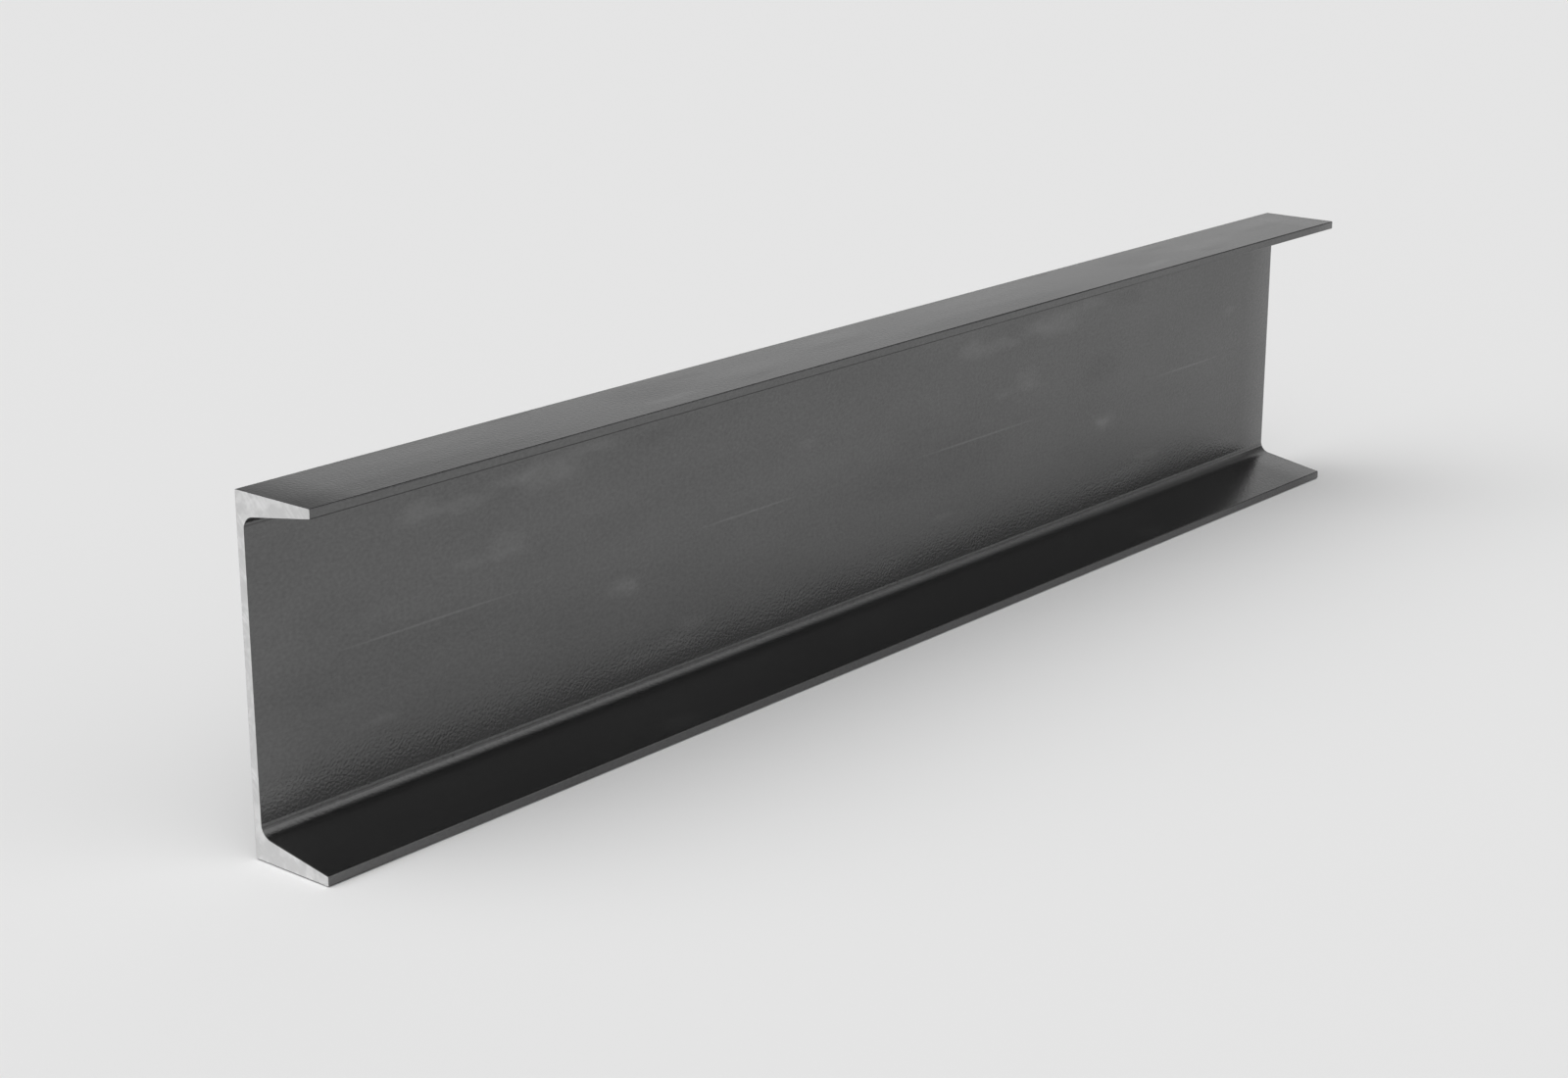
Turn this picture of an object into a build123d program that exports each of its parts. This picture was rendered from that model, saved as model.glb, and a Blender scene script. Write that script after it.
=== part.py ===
from build123d import *
import os

# Hot-rolled steel channel with tapered flanges, sawn square at both ends.
# It stands on its lower flange. X runs along the length, the web's flat back faces +Y,
# the open side faces -Y, and the origin is at the middle of the underside.

# Driving dimensions, in millimetres.
DEPTH = 203.2              # over the outsides of the two flanges
FLANGE_WIDTH = 57.4        # from the web's back to the toes
WEB_THICKNESS = 5.59
FLANGE_THICKNESS = 9.91    # halfway between the web's inner face and the toe
FLANGE_SLOPE = 1 / 6       # rise of a flange's inner face, per unit towards the web
ROOT_RADIUS = 8.1          # hollow fillet between web and flange
HEEL_RADIUS = 0.8          # outside corners behind the web
TOE_RADIUS = 0.8           # both corners of each flange tip
LENGTH = 1016.0            # between the sawn ends

# Places in the section, worked out from the driving dimensions.
Y_BACK = FLANGE_WIDTH / 2
Y_TOE = -FLANGE_WIDTH / 2
Y_WEB = Y_BACK - WEB_THICKNESS
HALF_TAPER = FLANGE_SLOPE * (FLANGE_WIDTH - WEB_THICKNESS) / 2
TOE_THICKNESS = FLANGE_THICKNESS - HALF_TAPER
FLANGE_ROOT = FLANGE_THICKNESS + HALF_TAPER


def half_section():
    """Lower half of the rolled section, in the YZ plane, up to the middle of the web."""
    heel = (Y_BACK, 0)
    toe_outside = (Y_TOE, 0)
    toe_inside = (Y_TOE, TOE_THICKNESS)
    root = (Y_WEB, FLANGE_ROOT)
    web_middle = [(Y_WEB, DEPTH / 2), (Y_BACK, DEPTH / 2)]
    with BuildSketch(Plane.YZ) as half:
        with BuildLine():
            Polyline(heel, toe_outside, toe_inside, root, *web_middle, close=True)
        make_face()

        def corner(place):
            return half.vertices().sort_by_distance(place)[0]

        fillet(corner(root), ROOT_RADIUS)
        fillet(corner(heel), HEEL_RADIUS)
        fillet([corner(toe_inside), corner(toe_outside)], TOE_RADIUS)
    return half.sketch


def steel_channel():
    """The whole section, one half mirrored on the other, rolled out to its length."""
    lower = half_section()
    upper = mirror(lower, about=Plane.XY.offset(DEPTH / 2))
    section = (lower + upper).clean()
    return extrude(section, LENGTH / 2, dir=(1, 0, 0), both=True)


os.makedirs("parts", exist_ok=True)
export_step(steel_channel(), "parts/steel_channel.step")
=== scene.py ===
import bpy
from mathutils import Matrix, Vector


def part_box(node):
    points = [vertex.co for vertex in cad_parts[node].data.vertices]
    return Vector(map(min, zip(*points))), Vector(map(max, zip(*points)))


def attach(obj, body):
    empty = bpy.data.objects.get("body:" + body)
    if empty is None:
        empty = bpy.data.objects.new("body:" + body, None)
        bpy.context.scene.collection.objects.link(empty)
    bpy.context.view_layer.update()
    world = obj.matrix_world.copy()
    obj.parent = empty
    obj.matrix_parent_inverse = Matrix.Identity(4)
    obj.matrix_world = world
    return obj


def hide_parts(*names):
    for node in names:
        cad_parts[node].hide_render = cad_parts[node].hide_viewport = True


bl_info = {
    "name": "Steel Channel",
    "version": (1, 0, 0),
    "blender": (4, 5, 0),
    "location": "3D View > Sidebar > Steel Channel",
    "description": "A length of hot-rolled steel channel with mill scale and sawn ends, on a pale floor",
    "category": "Object",
}

import math
from collections import namedtuple

import bpy
from bpy.props import FloatProperty, FloatVectorProperty, IntProperty, PointerProperty
from mathutils import Vector

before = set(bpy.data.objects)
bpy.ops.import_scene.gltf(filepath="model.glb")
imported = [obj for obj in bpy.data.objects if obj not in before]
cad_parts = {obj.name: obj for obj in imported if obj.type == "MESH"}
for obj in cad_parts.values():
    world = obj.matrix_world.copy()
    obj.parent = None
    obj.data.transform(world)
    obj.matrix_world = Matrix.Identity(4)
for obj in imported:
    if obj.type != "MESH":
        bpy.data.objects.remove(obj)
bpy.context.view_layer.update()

# The piece, the solid that it stands for, and the solid's box.
PIECE = "rolled_channel"
NODE = "steel_channel"
CAD_LOW, CAD_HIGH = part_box(NODE)
CAD_SIZE = CAD_HIGH - CAD_LOW
MM = 0.001

# Marks in the scale, and among the flange's clouds two of painted shade and sheen. All come again on each
# turn of the mill's rolls.
# Each is given in millimetres from the near sawn end and up the face, with its half length,
# its half height, and how far it lightens the scale, or darkens it where that is below zero.
# Up the inner faces is from the underside, and up the top flange's outside is from the toes to the back.
# Scuffs and clouds have ragged edges. The clear marks are two scratches and a spot near the lower toe.
ROLL_TURN = 508 * MM
Mark = namedtuple("Mark", "along height half_length half_height strength")
SCUFFS = (
    Mark(119, 165, 20, 9.5, 0.15),
    Mark(150, 162, 30, 6.5, 0.12),
    Mark(190, 167, 24, 6.5, 0.11),
    Mark(218, 166, 36, 12.0, 0.15),
    Mark(257, 173, 30, 6.0, 0.11),
    Mark(156, 127, 20, 4.5, 0.08),
    Mark(184, 132, 20, 10.0, 0.11),
    Mark(190, 126, 22, 4.5, 0.06),
    Mark(280, 82, 20, 9.0, 0.13),
    Mark(280, 82, 11, 5.0, 0.10),
    Mark(340, 45, 23, 6.0, 0.12),
    Mark(86, 54, 18, 3.5, 0.11),
    Mark(449, 136, 14, 5.5, 0.09),
    Mark(274, 123, 34, 15.0, -0.05),
    Mark(56, 122, 36, 20.0, -0.04),
    Mark(308, 169, 26, 8.0, -0.05),
    Mark(75, 92, 120, 24.0, -0.06),
    Mark(312, 34, 70, 9.0, 0.13),
    Mark(425, 31, 60, 8.0, 0.09),
    Mark(15, 33, 45, 10.0, 0.08),
)
CLEAR_MARKS = (
    Mark(125, 101.5, 90, 1.0, 0.21),
    Mark(391, 103.0, 60, 1.0, 0.22),
    Mark(281, 7.1, 22, 1.8, 0.18),
)
FLANGE_CLOUDS_AND_SHADE = (
    # The first two are painted shade along the toes and a painted sheen along the back, nearest the near
    # end, for how the flange's reflection falls across it.
    Mark(85, 9, 150, 18, -0.20),
    Mark(110, 44, 90, 12, 0.12),
    Mark(193, 55, 26, 6, -0.24),
    Mark(284, 38, 44, 22, -0.16),
    Mark(284, 14, 30, 5, 0.20),
    Mark(325, 43, 24, 5, -0.16),
    Mark(359, 13, 26, 6, -0.16),
    Mark(366, 28, 52, 11, 0.12),
    Mark(450, 28, 48, 7, -0.12),
    Mark(464, 43, 48, 11, 0.16),
)

# A mark is at its full strength within this share of its half sizes, and fades out from there to its rim.
MARK_CORE = 0.3
# How far a ragged edge strays along the face and up it, from end to end.
STRAY_ALONG = 30 * MM
STRAY_UP = 11 * MM
# Patches break a scuff or cloud up: its share in the weakest of them, and how much more in the strongest.
PATCH_LEAST = 0.4
PATCH_SPREAD = 1.2
# Shares of the toe radius, from a toe's corner, at which its line of painted shade is full and has faded
# out.
TOE_LINE_CORE = 0.5
TOE_LINE_RIM = 1.1

# Noise in the finishes: the size of its lumps, how far they are drawn out along the length,
# its finer detail, and its seed.
Lumps = namedtuple("Lumps", "size along detail seed")
WAVES = Lumps(40 * MM, 3.0, 1.0, 2.0)
GRAIN = Lumps(1.8 * MM, 1.5, 2.0, 3.0)
CLOUDS = Lumps(32 * MM, 3.0, 4.0, 5.0)
SCORES = Lumps(0.6 * MM, 250.0, 1.0, 7.0)
STRAYS_ALONG = Lumps(14 * MM, 1.5, 3.0, 11.0)
STRAYS_UP = Lumps(12 * MM, 2.0, 3.0, 12.0)
PATCHES = Lumps(6 * MM, 2.5, 3.0, 13.0)
POLISH = Lumps(7 * MM, 1.0, 4.0, 3.0)
CUTS = Lumps(14 * MM, 1.0, 2.0, 6.0)
PEEL_DETAIL = 1.5

# Levels of such noise, from 0 to 1, at which a feature starts to show and is full.
SCORED = (0.66, 0.78)
RUBBED = (0.60, 0.74)
STROKED = (0.46, 0.60)
POLISHED = (0.46, 0.62)
FRESHLY_CUT = (0.42, 0.60)

# The blade's marks are this share as wide as they are long, and their noise has this much finer detail.
STROKE_SHARE = 0.06
STROKE_DETAIL = 2.0

# Rounding of the sawn edges, which are the ones that turn by more than this angle.
ARRIS_FLATS = 2
ARRIS_ANGLE = math.radians(60)

# Soft lights in the sky: where each stands, in degrees counted from +X and up from the floor,
# and the half widths of its full part and of its whole reach.
SoftLight = namedtuple("SoftLight", "azimuth elevation core spread")
SOFT_LIGHTS = {
    "key": SoftLight(179.0, 52.0, 42.0, 54.0),
    "front_fill": SoftLight(292.0, 27.0, 10.0, 42.0),
    "rear_fill": SoftLight(30.0, 9.0, 10.0, 42.0),
}

# How far the floor reaches, the width of the camera's sensor in millimetres, and how far it sees.
FLOOR_REACH = 60 * CAD_SIZE.x
SENSOR_WIDTH = 36.0
SIGHT = 500.0


def distance(name, description, default):
    """A length that a user can change."""
    return FloatProperty(
        name=name, description=description, default=default, min=0.0, precision=5,
        unit="LENGTH", subtype="DISTANCE",
    )


def share(name, description, default):
    """A number from 0 to 1 that a user can change."""
    return FloatProperty(
        name=name, description=description, default=default, min=0.0, max=1.0, subtype="FACTOR"
    )


def level(name, description, default):
    """A brightness, where 1 is white on a white surface."""
    return FloatProperty(name=name, description=description, default=default, min=0.0)


def turn(name, description, degrees):
    """An angle that a user can change."""
    return FloatProperty(
        name=name, description=description, default=math.radians(degrees), unit="ROTATION", subtype="ANGLE"
    )


def tone(name, description, grey):
    """A neutral colour that a user can change."""
    return FloatVectorProperty(
        name=name, description=description, default=(grey, grey, grey), min=0.0, max=1.0,
        size=3, subtype="COLOR",
    )


class ChannelSection(bpy.types.PropertyGroup):
    """Sizes of the rolled section and of the cut length."""

    length: distance("Length", "Between the sawn ends", CAD_SIZE.x)
    depth: distance("Depth", "Over the outsides of the two flanges", CAD_SIZE.z)
    flange_width: distance("Flange width", "From the web's back to the toes", CAD_SIZE.y)
    web_thickness: distance("Web thickness", "Thickness of the flat web", 5.59 * MM)
    flange_thickness: distance(
        "Flange thickness", "Halfway between the web's inner face and the toe", 9.91 * MM
    )
    flange_slope: FloatProperty(
        name="Flange slope", description="Rise of a flange's inner face towards the web",
        default=1 / 6, min=0.0,
    )
    root_radius: distance("Root radius", "Hollow fillet between web and flange", 8.1 * MM)
    heel_radius: distance("Heel radius", "Outside corners behind the web", 0.8 * MM)
    toe_radius: distance("Toe radius", "Corners of each flange tip", 0.8 * MM)
    arris: distance("Arris", "Rounding of the edges round each sawn end", 0.25 * MM)
    steps: IntProperty(name="Steps", description="Flats in each rounded corner", default=14, min=2)


class ChannelFinish(bpy.types.PropertyGroup):
    """Colours and textures of the mill scale and of the sawn steel, with the shade painted along the toes
    and the root fillets.
    """

    dark_scale: tone("Dark scale", "Colour of the rolled surface where it is darkest", 0.100)
    rubbed_scale: tone("Rubbed scale", "Colour of the rolled surface where it is rubbed bright", 0.260)
    rubbing: share("Rubbing", "How far the whole surface is rubbed", 0.235)
    back_rubbing: share("Back rubbing", "How much further its outer faces are rubbed in places", 0.15)
    clouding: share("Clouding", "How far broad clouds lighten or darken the scale", 0.22)
    graining: share("Graining", "How far fine grain lightens or darkens the scale", 0.4)
    scoring: share("Scoring", "How far fine lines along the length lighten the scale", 0.03)
    scale_roughness: share("Scale roughness", "Gloss of the rolled surface", 0.26)
    gloss_spread: share("Gloss spread", "How far the clouds change that gloss", 0.06)
    wave_height: distance("Wave height", "Height of the long waves in the rolled faces", 0.15 * MM)
    peel_size: distance("Peel size", "Width of the dimples in the scale", 1.8 * MM)
    peel_height: distance("Peel height", "Height of the dimples in the scale", 0.2 * MM)
    end_band: distance("End band", "How far from a sawn end the rolled faces fall away", 35 * MM)
    end_tilt: turn("End tilt", "Slope of the rolled faces at a sawn end", 8.5)
    crown: turn("Flange crown", "Slope of the flanges' faces at their edges", 1.8)
    root_start: turn("Root start", "How far round a root fillet from the web its flat begins", 3.0)
    root_end: turn("Root end", "How far round a root fillet from the web its flat ends", 26.0)
    root_lean: turn("Root lean", "Slope of that flat against the web", 9.0)
    # Painted shade: a dark line is painted along each root fillet, for the dark horizon that the fillet
    # reflects.
    painted_root_line: turn("Root seam", "How far round a root fillet from the web a dark line runs along it", 15.5)
    painted_line_reach: turn("Seam reach", "How far to each side that line fades out", 6.0)
    painted_line_shade: share("Seam shade", "How much darker the scale is along that line", 0.32)
    # Painted shade: the toes' corners are darkened in colour for the dark that their rounded edges reflect,
    # the upper toe's inner corner most.
    painted_toe_shade: share("Toe shade", "How much darker the scale is on the toes' corners", 0.12)
    painted_inner_shade: share(
        "Inner toe shade", "How much darker the scale is on the upper toe's inner corner", 0.5
    )
    sawn_tone: tone("Sawn steel", "Colour of the bare ends", 0.69)
    sawn_bright: tone("Bright sawn steel", "Colour of the bare ends where the blade has polished them", 0.80)
    polishing: share("Polishing", "How bright the polished blotches are", 0.55)
    stroke_shine: share("Stroke shine", "How bright the blade's marks are", 0.5)
    stroke_height: distance("Stroke height", "Height of the blade's marks", 0.02 * MM)
    sawn_roughness: share("Sawn roughness", "Gloss of the bare ends", 0.95)
    sawn_spread: share("Sawn gloss spread", "How far the blade's marks change that gloss", 0.15)
    saw_pitch: distance("Saw pitch", "Distance between the blade's marks", 1.4 * MM)
    saw_slant: turn("Saw slant", "Lean of the blade's marks", 45.0)


class ChannelStudio(bpy.types.PropertyGroup):
    """Floor, light and camera."""

    floor_tone: tone("Floor", "Colour of the pale floor", 0.826)
    floor_gap: distance("Floor gap", "Hairline under the channel, which is never dead flat", 0.5 * MM)
    backdrop: level("Backdrop", "Brightness behind the floor, as the camera sees it", 0.776)
    mirrored: share("Mirrored", "Share of the backdrop that shows in metal", 0.27)
    key: level("Key light", "Brightness of the broad light at the near end", 1.89)
    front_fill: level("Front fill", "Brightness of the soft light at the open side", 0.82)
    rear_fill: level("Rear fill", "Brightness of the soft light beyond the far end", 0.45)
    camera_place: FloatVectorProperty(
        name="Camera", description="Where the camera stands", default=(-1.3679, -1.0559, 0.5905), size=3,
        unit="LENGTH", subtype="TRANSLATION",
    )
    camera_heading: turn("Camera heading", "Direction of view, counted from +X", 39.977)
    camera_dip: turn("Camera dip", "How far the camera looks down", 16.981)
    camera_lens: FloatProperty(
        name="Lens", description="Focal length in millimetres", default=63.83, min=1.0, unit="CAMERA"
    )


class Value:
    """A number in a node tree. Python's operators on it add Math nodes."""

    def __init__(self, graph, socket):
        self.graph = graph
        self.socket = socket

    def math(self, operation, *operands):
        """The result of this operation on these values and numbers."""
        return self.graph.add("ShaderNodeMath", {"operation": operation}, dict(enumerate(operands)))

    def __add__(self, other):
        return self.math("ADD", self, other)

    def __radd__(self, other):
        return self.math("ADD", other, self)

    def __sub__(self, other):
        return self.math("SUBTRACT", self, other)

    def __rsub__(self, other):
        return self.math("SUBTRACT", other, self)

    def __mul__(self, other):
        return self.math("MULTIPLY", self, other)

    def __rmul__(self, other):
        return self.math("MULTIPLY", other, self)

    def __truediv__(self, other):
        return self.math("DIVIDE", self, other)

    def __rtruediv__(self, other):
        return self.math("DIVIDE", other, self)

    def __lt__(self, other):
        return self.math("LESS_THAN", self, other)

    def __gt__(self, other):
        return self.math("GREATER_THAN", self, other)

    def __abs__(self):
        return self.math("ABSOLUTE", self)

    def between(self, lowest, highest):
        """The value, held at these limits."""
        return self.math("MINIMUM", self.math("MAXIMUM", self, lowest), highest)

    def slope(self, run):
        """The angle of a line that rises by this value over that run."""
        return self.math("ARCTAN2", self, run)


class Graph:
    """A node tree that grows by one method."""

    def __init__(self, tree):
        self.tree = tree
        self.tree.nodes.clear()

    def add(self, kind, settings=None, sockets=None, output=0):
        """A new node of this kind: first its settings, then the values or links of its sockets."""
        node = self.tree.nodes.new(kind)
        for name, value in (settings or {}).items():
            if name == "choices":
                while len(node.index_switch_items) < value:
                    node.index_switch_items.new()
            else:
                setattr(node, name, value)
        for key, value in (sockets or {}).items():
            if isinstance(value, Value):
                self.tree.links.new(value.socket, node.inputs[key])
            else:
                node.inputs[key].default_value = value
        if not node.outputs:
            return None
        return Value(self, node.outputs[output])

    def split(self, place):
        """The three coordinates of a place."""
        first = self.add("ShaderNodeSeparateXYZ", {}, {0: place})
        return [Value(self, socket) for socket in first.socket.node.outputs]

    def ease(self, value, start, end):
        """0 at start and 1 at end, with a soft step between them."""
        sockets = {"Value": value, "From Min": start, "From Max": end}
        return self.add("ShaderNodeMapRange", {"interpolation_type": "SMOOTHSTEP"}, sockets)

    def length(self, offset):
        """How long a vector is."""
        return self.add("ShaderNodeVectorMath", {"operation": "LENGTH"}, {0: offset}, output="Value")

    def noise(self, place, lumps):
        """Noise from 0 to 1 with these lumps."""
        scale = (1 / (lumps.size * lumps.along), 1 / lumps.size, 1 / lumps.size)
        spread = self.add("ShaderNodeMapping", {}, {"Vector": place, "Scale": scale})
        sockets = {"Vector": spread, "W": lumps.seed, "Scale": 1.0, "Detail": lumps.detail}
        return self.add("ShaderNodeTexNoise", {"noise_dimensions": "4D"}, sockets)

    def blend(self, share_of_second, first, second):
        """One colour passing into another."""
        sockets = {0: share_of_second, 6: first, 7: second}
        return self.add("ShaderNodeMix", {"data_type": "RGBA"}, sockets, output=2)


def rgba(colour):
    """A colour with full cover."""
    return (*colour, 1.0)


def new_material(name):
    """An empty material and the graph of its nodes."""
    material = bpy.data.materials.new(name)
    material.use_nodes = True
    return material, Graph(material.node_tree)


def steel_surface(graph, colour, roughness, height):
    """Bare metal of this colour, with its relief in millimetres."""
    normal = graph.add("ShaderNodeBump", {}, {"Distance": MM, "Height": height})
    sockets = {"Base Color": colour, "Roughness": roughness, "Metallic": 1.0, "Normal": normal}
    surface = graph.add("ShaderNodeBsdfPrincipled", {}, sockets)
    graph.add("ShaderNodeOutputMaterial", {}, {"Surface": surface})


def mark_cover(graph, spot, marks):
    """How far each spot is lightened by these marks, which come again on each turn of the rolls."""
    cover = 0.0
    for mark in marks:
        centre = Vector((mark.along * MM, 0.0, mark.height * MM))
        scale = Vector((1 / (mark.half_length * MM), 0.0, 1 / (mark.half_height * MM)))
        sockets = {"Vector": spot, "Location": -centre * scale, "Scale": scale}
        settled = graph.add("ShaderNodeMapping", {}, sockets)
        half_turn = Vector((ROLL_TURN / 2, 0.0, CAD_SIZE.x)) * scale
        limits = {0: settled, 1: half_turn, 2: -half_turn}
        printed = graph.add("ShaderNodeVectorMath", {"operation": "WRAP"}, limits)
        cover = cover + mark.strength * graph.ease(graph.length(printed), 1.0, MARK_CORE)
    return cover


def roll_spot(graph, along, up):
    """A spot on a face, counted from the near end, and the same with ragged edges."""
    from_end = along - CAD_LOW.x
    spot = graph.add("ShaderNodeCombineXYZ", {}, {0: from_end, 2: up})
    ragged_along = from_end + (graph.noise(spot, STRAYS_ALONG) - 0.5) * STRAY_ALONG
    ragged_up = up + (graph.noise(spot, STRAYS_UP) - 0.5) * STRAY_UP
    return spot, graph.add("ShaderNodeCombineXYZ", {}, {0: ragged_along, 2: ragged_up})


def patches(graph, spot):
    """Small uneven patches that break up a mark."""
    return PATCH_LEAST + PATCH_SPREAD * graph.noise(spot, PATCHES)


def inner_marks(graph, place):
    """Cloudy scuffs, straight scratches and a pale spot near the lower toe, on the inner faces."""
    along, height = graph.split(place)[::2]
    spot, ragged = roll_spot(graph, along, height - CAD_LOW.z)
    scuffs = mark_cover(graph, ragged, SCUFFS) * patches(graph, spot)
    return scuffs + mark_cover(graph, spot, CLEAR_MARKS)


def flange_marks_and_shade(graph, place):
    """Long soft clouds along the top flange's outside, among them painted shade along its toes and a painted
    sheen along its back near the near end.
    """
    along, across, height = graph.split(place)
    spot, ragged = roll_spot(graph, along, across - CAD_LOW.y)
    clouds = mark_cover(graph, ragged, FLANGE_CLOUDS_AND_SHADE) * patches(graph, spot)
    return clouds * (height > CAD_HIGH.z - MM)


def end_droop(graph, place, section, finish):
    """Height in millimetres of the rolled faces, which fall away close to the sawn ends."""
    along = graph.split(place)[0]
    inward = (section.length / 2 - abs(along)) / finish.end_band
    nearness = (1 - inward).between(0.0, 1.0)
    fall = math.tan(finish.end_tilt) * finish.end_band / (2 * MM)
    return nearness * nearness * -fall


def flange_crown(graph, place, section, finish):
    """Height in millimetres of the flanges' faces, which curve down a little to both edges."""
    outward = graph.split(place)[1] / (section.flange_width / 2)
    fall = math.tan(finish.crown) * section.flange_width / (4 * MM)
    return outward * outward * -fall


def in_section(graph, place, section):
    """How far a spot lies in from the toes, and in from the outside of the nearer flange."""
    across, height = graph.split(place)[1:]
    return across + section.flange_width / 2, section.depth / 2 - abs(height - section.depth / 2)


def round_root(graph, place, section):
    """The angle of a spot round the nearer root fillet, which is 0 where the fillet leaves the web."""
    radius, slope = section.root_radius, section.flange_slope
    web = section.flange_width - section.web_thickness
    root = section.flange_thickness + slope * web / 2
    centre_in = web - radius
    centre_up = root - slope * radius + radius * math.hypot(1, slope)
    from_toes, from_outside = in_section(graph, place, section)
    return (centre_up - from_outside).slope(from_toes - centre_in)


def root_flat(angle, section, finish):
    """Height in millimetres of the flat that the rolls leave where a root fillet starts from the web."""
    turned = angle.between(finish.root_start, finish.root_end)
    return turned * (2 * finish.root_lean - turned) * (section.root_radius / (2 * MM))


def painted_root_line(graph, angle, finish):
    """1 along the line of painted shade in a root fillet, which stands in for the dark horizon that the
    fillet reflects, and 0 away from it.
    """
    return graph.ease(abs(angle - finish.painted_root_line), finish.painted_line_reach, 0.0)


def painted_toe_lines(graph, place, section, finish):
    """Painted shade along the corners of the flanges' tips, standing in for the dark that their rounded
    edges reflect: how much darker it makes the scale.
    """
    taper = section.flange_slope * (section.flange_width - section.web_thickness) / 2
    tip = section.flange_thickness - taper
    from_toes, from_outside = in_section(graph, place, section)
    from_corner = abs(abs(from_outside - tip / 2) - tip / 2)
    offset = graph.add("ShaderNodeCombineXYZ", {}, {0: from_toes, 1: from_corner})
    rim, core = TOE_LINE_RIM * section.toe_radius, TOE_LINE_CORE * section.toe_radius
    line = graph.ease(graph.length(offset), rim, core)
    upper_inner = (from_outside > tip / 2) * (graph.split(place)[2] > section.depth / 2)
    return line * (finish.painted_toe_shade + upper_inner * (finish.painted_inner_shade - finish.painted_toe_shade))


def mill_scale(section, finish):
    """Dark oxide of the hot rolling: dimpled, clouded, scuffed and faintly scored along the length, with
    painted shade along the toes' corners and the root fillets.
    """
    material, graph = new_material("mill_scale")
    place = graph.add("ShaderNodeTexCoord", output="Object")
    across = graph.split(place)[1]
    inside = across < CAD_HIGH.y - section.web_thickness / 2
    peel = graph.noise(place, Lumps(finish.peel_size, 1.0, PEEL_DETAIL, 0.0))
    waves = graph.noise(place, WAVES)
    grain = graph.noise(place, GRAIN)
    clouds = graph.noise(place, CLOUDS)
    score = graph.ease(graph.noise(place, SCORES), *SCORED)
    rubbed = graph.ease(clouds, *RUBBED) * (1 - inside) * finish.back_rubbing
    marks = inner_marks(graph, place) * inside + flange_marks_and_shade(graph, place)
    mottle = (clouds - 0.5) * finish.clouding + (grain - 0.5) * finish.graining
    cover = finish.rubbing + marks + rubbed + score * finish.scoring + mottle
    scale = graph.blend(cover, rgba(finish.dark_scale), rgba(finish.rubbed_scale))
    angle = round_root(graph, place, section)
    painted_root_shade = painted_root_line(graph, angle, finish) * inside * finish.painted_line_shade
    # Painted shade: the toes' corners and the root fillets are darkened in colour where they reflect dark
    # surroundings.
    shade = painted_toe_lines(graph, place, section, finish) + painted_root_shade
    colour = graph.blend(shade, scale, (0.0, 0.0, 0.0, 1.0))
    roughness = finish.scale_roughness + (clouds - 0.5) * finish.gloss_spread
    shape = end_droop(graph, place, section, finish) + flange_crown(graph, place, section, finish)
    roots = root_flat(angle, section, finish) * inside
    texture = peel * (finish.peel_height / MM) + waves * (finish.wave_height / MM)
    steel_surface(graph, colour, roughness, texture + shape + roots)
    return material


def sawn_steel(finish):
    """Bare bright steel, polished in blotches, with the blade's slanting marks here and there."""
    material, graph = new_material("sawn_steel")
    place = graph.add("ShaderNodeTexCoord", output="Object")
    slant = (finish.saw_slant, 0.0, 0.0)
    leaning = graph.add("ShaderNodeMapping", {}, {"Vector": place, "Rotation": slant})
    stretch = (1.0, 1 / finish.saw_pitch, STROKE_SHARE / finish.saw_pitch)
    stretched = graph.add("ShaderNodeMapping", {}, {"Vector": leaning, "Scale": stretch})
    sockets = {"Vector": stretched, "Scale": 1.0, "Detail": STROKE_DETAIL}
    marks = graph.add("ShaderNodeTexNoise", {}, sockets)
    strokes = graph.ease(marks, *STROKED)
    polished = graph.ease(graph.noise(place, POLISH), *POLISHED)
    cut = graph.ease(graph.noise(place, CUTS), *FRESHLY_CUT)
    shine = polished * finish.polishing + cut * strokes * finish.stroke_shine
    colour = graph.blend(shine, rgba(finish.sawn_tone), rgba(finish.sawn_bright))
    roughness = finish.sawn_roughness + (marks - 0.5) * finish.sawn_spread
    steel_surface(graph, colour, roughness, marks * (finish.stroke_height / MM))
    return material


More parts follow.
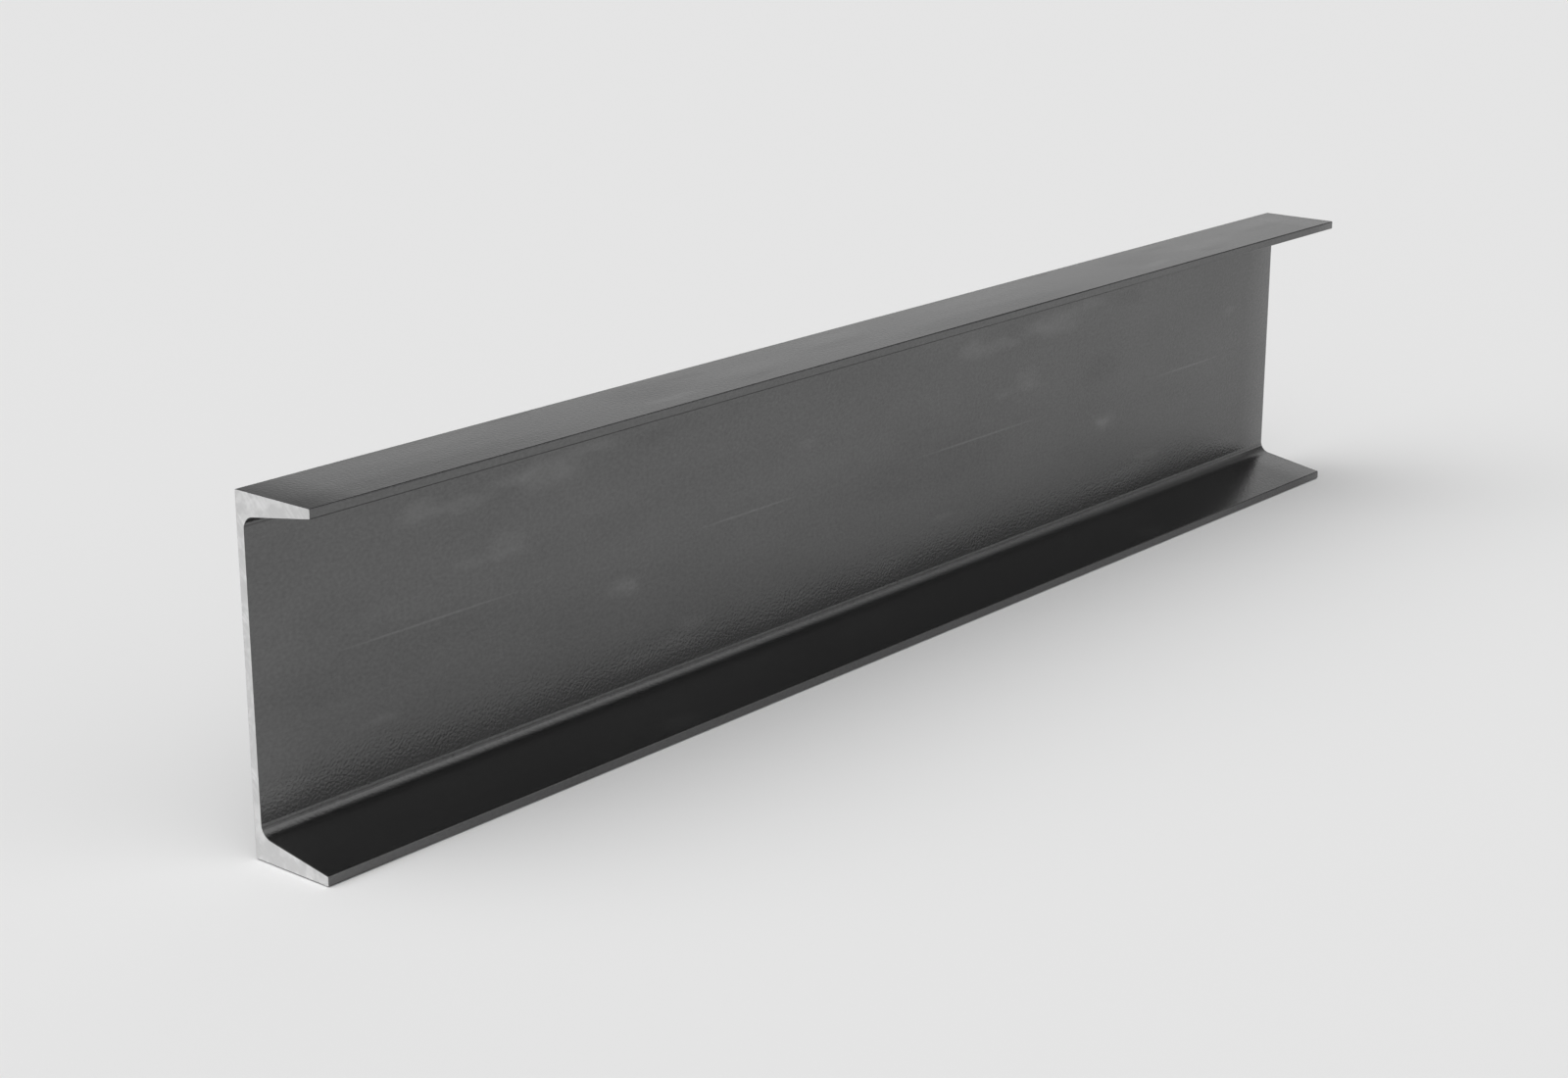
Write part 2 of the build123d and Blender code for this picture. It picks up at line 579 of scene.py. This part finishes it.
class RollingTree:
    """Geometry nodes that sweep the channel's section along its length."""

    SIZES = (
        "length", "depth", "flange_width", "web_thickness", "flange_thickness", "flange_slope",
        "root_radius", "heel_radius", "toe_radius",
    )
    CORNERS = 8

    def __init__(self):
        self.group = bpy.data.node_groups.new("rolled_channel_section", "GeometryNodeTree")
        self.graph = Graph(self.group)
        self.sockets = {}
        for name in self.SIZES:
            self.input(name, "NodeSocketFloat")
        self.input("steps", "NodeSocketInt")
        self.input("skin", "NodeSocketMaterial")
        self.input("ends", "NodeSocketMaterial")
        self.group.interface.new_socket("Channel", in_out="OUTPUT", socket_type="NodeSocketGeometry")
        first = self.graph.add("NodeGroupInput")
        outputs = first.socket.node.outputs
        self.given = {name: Value(self.graph, outputs[name]) for name in self.sockets}
        self.build()

    def input(self, name, kind):
        """Gives the tree an input with this name."""
        self.sockets[name] = self.group.interface.new_socket(name, in_out="INPUT", socket_type=kind)

    def pick(self, index, *choices):
        """The choice with this index."""
        settings = {"data_type": "FLOAT", "choices": len(choices)}
        return self.graph.add("GeometryNodeIndexSwitch", settings, dict(enumerate([index, *choices])))

    def section(self):
        """The closed outline about the web's middle: heel, toe and root above, then the same below."""
        add, given = self.graph.add, self.given
        back = given["flange_width"] / 2
        toe = -1 * back
        web = back - given["web_thickness"]
        taper = given["flange_slope"] * (given["flange_width"] - given["web_thickness"]) / 2
        index = add("GeometryNodeInputIndex")
        lower = index > self.CORNERS / 2 - 0.5
        corner = index + lower * (self.CORNERS - 1 - 2 * index)
        across = self.pick(corner, back, toe, toe, web)
        thickness = given["flange_thickness"]
        rise = self.pick(corner, 0.0, 0.0, thickness - taper, thickness + taper)
        height = (given["depth"] / 2 - rise) * (1 - 2 * lower)
        radius = self.pick(
            corner, given["heel_radius"], given["toe_radius"], given["toe_radius"], given["root_radius"]
        )
        line = add("GeometryNodeCurvePrimitiveLine")
        points = add("GeometryNodeResampleCurve", {}, {"Curve": line, "Count": self.CORNERS})
        place = add("ShaderNodeCombineXYZ", {}, {0: across, 1: height})
        placed = add("GeometryNodeSetPosition", {}, {"Geometry": points, "Position": place})
        closed = add("GeometryNodeSetSplineCyclic", {}, {"Geometry": placed, "Cyclic": True})
        rounding = {"Curve": closed, "Radius": radius, "Count": given["steps"], "Limit Radius": True}
        return add("GeometryNodeFilletCurve", {"mode": "POLY"}, rounding)

    def build(self):
        """Sweeps the outline from end to end and gives the rolled skin and the ends their materials."""
        add, given = self.graph.add, self.given
        half = given["length"] / 2
        middle = given["depth"] / 2
        near = add("ShaderNodeCombineXYZ", {}, {0: -1 * half, 2: middle})
        far = add("ShaderNodeCombineXYZ", {}, {0: half, 2: middle})
        path = add("GeometryNodeCurvePrimitiveLine", {}, {"Start": far, "End": near})
        swept = {"Curve": path, "Profile Curve": self.section(), "Fill Caps": True}
        bar = add("GeometryNodeCurveToMesh", {}, swept)
        smooth = add("GeometryNodeSetShadeSmooth", {}, {"Geometry": bar, "Shade Smooth": True})
        normal = add("GeometryNodeInputNormal")
        along = add("ShaderNodeSeparateXYZ", {}, {0: normal}, output="X")
        end = abs(along) > 0.5
        real = add("GeometryNodeRealizeInstances", {}, {"Geometry": smooth})
        skin = add("GeometryNodeSetMaterial", {}, {"Geometry": real, "Material": given["skin"]})
        sawn = {"Geometry": skin, "Selection": end, "Material": given["ends"]}
        add("NodeGroupOutput", {}, {0: add("GeometryNodeSetMaterial", {}, sawn)})


def round_sawn_edges(piece, section):
    """Takes the sharpness off the sawn edges and keeps the flats flat."""
    arris = piece.modifiers.new("arris", "BEVEL")
    arris.width = section.arris
    arris.segments = ARRIS_FLATS
    arris.limit_method = "ANGLE"
    arris.angle_limit = ARRIS_ANGLE
    arris.material = 0
    piece.modifiers.new("flats", "WEIGHTED_NORMAL")


def freeze(piece):
    """Turns what the modifiers make into the piece's own plain mesh."""
    graph = bpy.context.evaluated_depsgraph_get()
    mesh = bpy.data.meshes.new_from_object(
        piece.evaluated_get(graph), preserve_all_data_layers=True, depsgraph=graph
    )
    piece.modifiers.clear()
    piece.data = mesh
    mesh.name = piece.name


class CHANNEL_OT_roll(bpy.types.Operator):
    """Sweep the rolled section along its length and give it its mill scale and sawn ends"""

    bl_idname = "channel.roll"
    bl_label = "Roll Channel"

    def execute(self, context):
        section = context.scene.channel_section
        finish = context.scene.channel_finish
        tree = RollingTree()
        piece = bpy.data.objects.new(PIECE, bpy.data.meshes.new(PIECE))
        context.scene.collection.objects.link(piece)
        sweep = piece.modifiers.new("rolling", "NODES")
        sweep.node_group = tree.group
        given = {name: getattr(section, name) for name in (*tree.SIZES, "steps")}
        given["skin"] = mill_scale(section, finish)
        given["ends"] = sawn_steel(finish)
        piece.data.materials.append(given["skin"])
        piece.data.materials.append(given["ends"])
        for name, value in given.items():
            sweep[tree.sockets[name].identifier] = value
        round_sawn_edges(piece, section)
        freeze(piece)
        if not piece.data.polygons:
            raise RuntimeError("the section swept to nothing: check its sizes")
        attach(piece, "root")
        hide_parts(NODE)
        return {"FINISHED"}


def direction(azimuth, elevation):
    """The unit vector that points this way."""
    flat = math.cos(elevation)
    return Vector((flat * math.cos(azimuth), flat * math.sin(azimuth), math.sin(elevation)))


def lay_floor(scene, studio):
    """A wide flat floor under the piece."""
    material, graph = new_material("pale_floor")
    sockets = {"Base Color": rgba(studio.floor_tone), "Roughness": 1.0, "Specular IOR Level": 0.0}
    surface = graph.add("ShaderNodeBsdfPrincipled", {}, sockets)
    graph.add("ShaderNodeOutputMaterial", {}, {"Surface": surface})
    corners = [(-1, -1), (1, -1), (1, 1), (-1, 1)]
    mesh = bpy.data.meshes.new("floor")
    height = CAD_LOW.z - studio.floor_gap
    mesh.from_pydata([(x * FLOOR_REACH, y * FLOOR_REACH, height) for x, y in corners], [], [(0, 1, 2, 3)])
    mesh.materials.append(material)
    floor = bpy.data.objects.new("floor", mesh)
    scene.collection.objects.link(floor)


def light_sky(scene, studio):
    """Three broad soft lights in a dark sky, before a plain backdrop that the camera and metal see."""
    world = bpy.data.worlds.new("studio_sky")
    world.use_nodes = True
    scene.world = world
    graph = Graph(world.node_tree)
    towards = graph.add("ShaderNodeTexCoord", output="Generated")
    lights = 0.0
    for name, light in SOFT_LIGHTS.items():
        middle = direction(math.radians(light.azimuth), math.radians(light.elevation))
        sockets = {0: towards, 1: middle}
        facing = graph.add("ShaderNodeVectorMath", {"operation": "DOT_PRODUCT"}, sockets, output="Value")
        glow = graph.ease(facing, math.cos(math.radians(light.spread)), math.cos(math.radians(light.core)))
        lights = lights + getattr(studio, name) * glow
    camera = graph.add("ShaderNodeLightPath", output="Is Camera Ray")
    glossy = graph.add("ShaderNodeLightPath", output="Is Glossy Ray")
    clear = graph.add("ShaderNodeLightPath", output="Is Transmission Ray")
    backdrop = (camera + (glossy + clear) * studio.mirrored) * studio.backdrop
    brightness = backdrop + (1 - camera) * lights
    background = graph.add("ShaderNodeBackground", {}, {"Strength": brightness, "Color": (1, 1, 1, 1)})
    graph.add("ShaderNodeOutputWorld", {}, {"Surface": background})


def set_camera(scene, studio):
    """A camera that looks along its heading, tilted down."""
    lens = bpy.data.cameras.new("camera")
    lens.lens = studio.camera_lens
    lens.sensor_width = SENSOR_WIDTH
    lens.clip_end = SIGHT
    camera = bpy.data.objects.new("camera", lens)
    camera.location = studio.camera_place
    camera.rotation_euler = (math.pi / 2 - studio.camera_dip, 0.0, studio.camera_heading - math.pi / 2)
    scene.collection.objects.link(camera)
    scene.camera = camera


class CHANNEL_OT_stage(bpy.types.Operator):
    """Lay the floor, light the sky and set up the camera"""

    bl_idname = "channel.stage"
    bl_label = "Set Stage"

    def execute(self, context):
        studio = context.scene.channel_studio
        lay_floor(context.scene, studio)
        light_sky(context.scene, studio)
        set_camera(context.scene, studio)
        context.scene.view_settings.view_transform = "Standard"
        return {"FINISHED"}


class CHANNEL_PT_sidebar(bpy.types.Panel):
    """Sizes, finish and stage of the channel"""

    bl_idname = "CHANNEL_PT_sidebar"
    bl_label = "Steel Channel"
    bl_space_type = "VIEW_3D"
    bl_region_type = "UI"
    bl_category = "Steel Channel"

    def draw(self, context):
        scene = context.scene
        rows = (
            (scene.channel_section, None),
            (scene.channel_finish, CHANNEL_OT_roll),
            (scene.channel_studio, CHANNEL_OT_stage),
        )
        for group, operator in rows:
            column = self.layout.column()
            for name in group.bl_rna.properties.keys():
                if name not in ("name", "rna_type"):
                    column.prop(group, name)
            if operator is not None:
                column.operator(operator.bl_idname)


GROUPS = {
    "channel_section": ChannelSection,
    "channel_finish": ChannelFinish,
    "channel_studio": ChannelStudio,
}
CLASSES = (*GROUPS.values(), CHANNEL_OT_roll, CHANNEL_OT_stage, CHANNEL_PT_sidebar)


def register():
    """Makes the classes known and gives every scene the channel's settings."""
    for cls in CLASSES:
        bpy.utils.register_class(cls)
    for name, group in GROUPS.items():
        setattr(bpy.types.Scene, name, PointerProperty(type=group))


def unregister():
    """Takes back what register did."""
    for name in GROUPS:
        delattr(bpy.types.Scene, name)
    for cls in reversed(CLASSES):
        bpy.utils.unregister_class(cls)


def main():
    """Builds the channel and its stage."""
    register()
    bpy.ops.channel.roll()
    bpy.ops.channel.stage()


if __name__ == "__main__":
    main()
